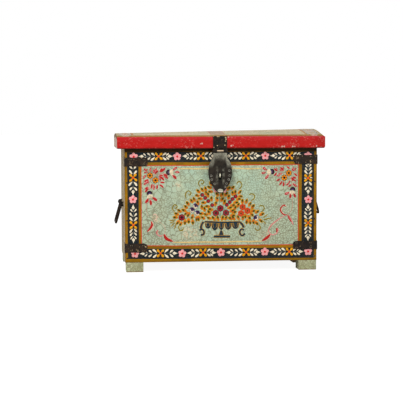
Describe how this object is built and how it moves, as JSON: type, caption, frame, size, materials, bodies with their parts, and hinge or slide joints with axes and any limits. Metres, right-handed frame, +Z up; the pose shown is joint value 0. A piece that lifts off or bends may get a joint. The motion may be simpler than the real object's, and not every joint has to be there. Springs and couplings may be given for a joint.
{
  "type": "damchiya dowry chest",
  "caption": "Painted wooden dowry chest with crowned hinged cap lid, iron hasp and staple, corner straps, swinging bail handles at the ends and block feet.",
  "frame": {"origin": "on the floor, under the middle of the chest's overall footprint", "axes": "+X along the chest's length to its right end as seen from the front, -Y out of the painted front, +Z up"},
  "size_m": [0.7097, 0.403, 0.4762],
  "materials": {
    "front_paint": "aged crackled paint",
    "side_paint": "worn pale paint",
    "red_paint": "worn satin paint",
    "lid_paint": "worn pale paint",
    "foot_paint": "worn paint",
    "plain_wood": "aged bare wood",
    "iron": "hand-forged, dark and rubbed"
  },
  "bodies": {
    "carcass": {"back_panel": "plain_wood", "corner_strap_lower_left": "iron", "corner_strap_lower_right": "iron", "corner_strap_nails": "iron", "corner_strap_upper_left": "iron", "corner_strap_upper_right": "iron", "floor_bearer_left": "plain_wood", "floor_bearer_right": "plain_wood", "floor_boards": "plain_wood", "floor_nails": "iron", "foot_back_left": "foot_paint", "foot_back_right": "foot_paint", "foot_front_left": "foot_paint", "foot_front_right": "foot_paint", "front_panel": "front_paint", "handle_staples_left": "iron", "handle_staples_right": "iron", "hasp_staple": "iron", "hinge_leaf_body_left": "iron", "hinge_leaf_body_right": "iron", "hinge_nails_body": "iron", "hinge_pin_left": "iron", "hinge_pin_right": "iron", "panel_nails": "iron", "side_panel_left": "side_paint", "side_panel_right": "side_paint"},
    "lid": {"hasp_lid_strap": "iron", "hasp_pin": "iron", "hasp_strap_nails": "iron", "hinge_leaf_lid_left": "iron", "hinge_leaf_lid_right": "iron", "hinge_nails_lid": "iron", "lid_back_rail": "side_paint", "lid_battens": "plain_wood", "lid_board_back": "lid_paint", "lid_board_front": "lid_paint", "lid_board_middle": "lid_paint", "lid_board_nails": "iron", "lid_end_rail_left": "side_paint", "lid_end_rail_right": "side_paint", "lid_front_rail": "red_paint"},
    "hasp": {"hasp_plate": "iron"},
    "handle_left": {"handle_bail_left": "iron"},
    "handle_right": {"handle_bail_right": "iron"}
  },
  "joints": [
    {"name": "lid_hinge", "type": "hinge", "parent": "carcass", "child": "lid", "pos_m": [0, 0.19548, 0.414], "axis": [-1, 0, 0], "range_deg": [0, 105]},
    {"name": "hasp_swing", "type": "hinge", "parent": "lid", "child": "hasp", "pos_m": [-0.007, -0.19303, 0.4065], "axis": [-1, 0, 0], "range_deg": [-7.5, 165]},
    {"name": "handle_left_swing", "type": "hinge", "parent": "carcass", "child": "handle_left", "pos_m": [-0.3318, 0.02498, 0.221], "axis": [0, 1, 0], "range_deg": [-17.5, 158]},
    {"name": "handle_right_swing", "type": "hinge", "parent": "carcass", "child": "handle_right", "pos_m": [0.3318, -0.01903, 0.254], "axis": [0, -1, 0], "range_deg": [-17.5, 158]}
  ]
}
